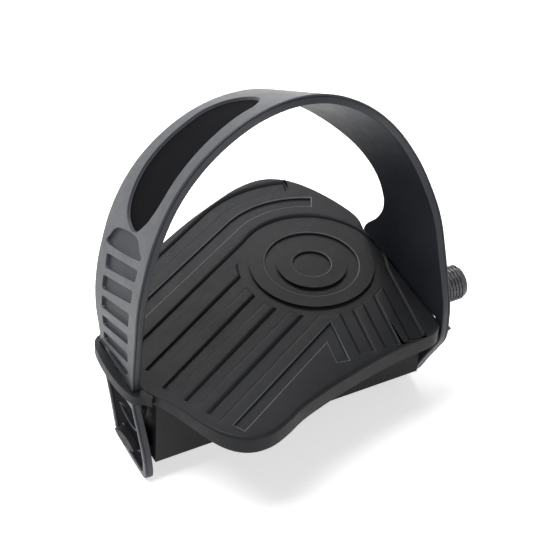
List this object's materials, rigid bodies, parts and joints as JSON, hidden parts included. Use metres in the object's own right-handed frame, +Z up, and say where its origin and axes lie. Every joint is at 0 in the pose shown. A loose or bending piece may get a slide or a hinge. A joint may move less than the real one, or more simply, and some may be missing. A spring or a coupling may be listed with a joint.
{
  "type": "exercise bike pedal",
  "caption": "One-sided platform pedal with a grooved tread and an arched foot strap, turning on a threaded spindle that screws into the crank.",
  "frame": {"origin": "on the spindle axis, in the shoulder face that seats on the crank", "axes": "+X along the spindle towards the crank, +Y the way the toes point, +Z up out of the tread"},
  "size_m": [0.138, 0.1145, 0.1383],
  "materials": {
    "body_plastic": "fine moulded grain",
    "strap_plastic": "smooth flexible plastic with a soft sheen",
    "black_steel": "blackened and oiled",
    "bearing_steel": "plain",
    "ball_steel": "polished",
    "seal_rubber": "matt"
  },
  "bodies": {
    "spindle": {"spindle": "black_steel", "outer_cone": "bearing_steel", "key_washer": "bearing_steel", "lock_nut": "bearing_steel"},
    "pedal": {"pedal_body": "body_plastic", "foot_strap": "strap_plastic", "inner_cup": "bearing_steel", "outer_cup": "bearing_steel", "dust_cap": "body_plastic", "inner_seal": "seal_rubber"},
    "inner_balls": {"inner_ball_1": "ball_steel", "inner_ball_2": "ball_steel", "inner_ball_3": "ball_steel", "inner_ball_4": "ball_steel", "inner_ball_5": "ball_steel", "inner_ball_6": "ball_steel", "inner_ball_7": "ball_steel", "inner_ball_8": "ball_steel", "inner_ball_9": "ball_steel", "inner_ball_10": "ball_steel"},
    "outer_balls": {"outer_ball_1": "ball_steel", "outer_ball_2": "ball_steel", "outer_ball_3": "ball_steel", "outer_ball_4": "ball_steel", "outer_ball_5": "ball_steel", "outer_ball_6": "ball_steel", "outer_ball_7": "ball_steel", "outer_ball_8": "ball_steel", "outer_ball_9": "ball_steel"}
  },
  "joints": [
    {"name": "pedal_spin", "type": "hinge", "parent": "spindle", "child": "pedal", "pos_m": [-0.06, 0, 0], "axis": [1, 0, 0], "continuous": true},
    {"name": "inner_balls_orbit", "type": "hinge", "parent": "spindle", "child": "inner_balls", "pos_m": [-0.02, 0, 0], "axis": [1, 0, 0], "continuous": true},
    {"name": "outer_balls_orbit", "type": "hinge", "parent": "spindle", "child": "outer_balls", "pos_m": [-0.1, 0, 0], "axis": [1, 0, 0], "continuous": true}
  ],
  "couplings": [
    {"joint": "inner_balls_orbit", "follows": "pedal_spin", "ratio": 0.6},
    {"joint": "outer_balls_orbit", "follows": "pedal_spin", "ratio": 0.608}
  ]
}
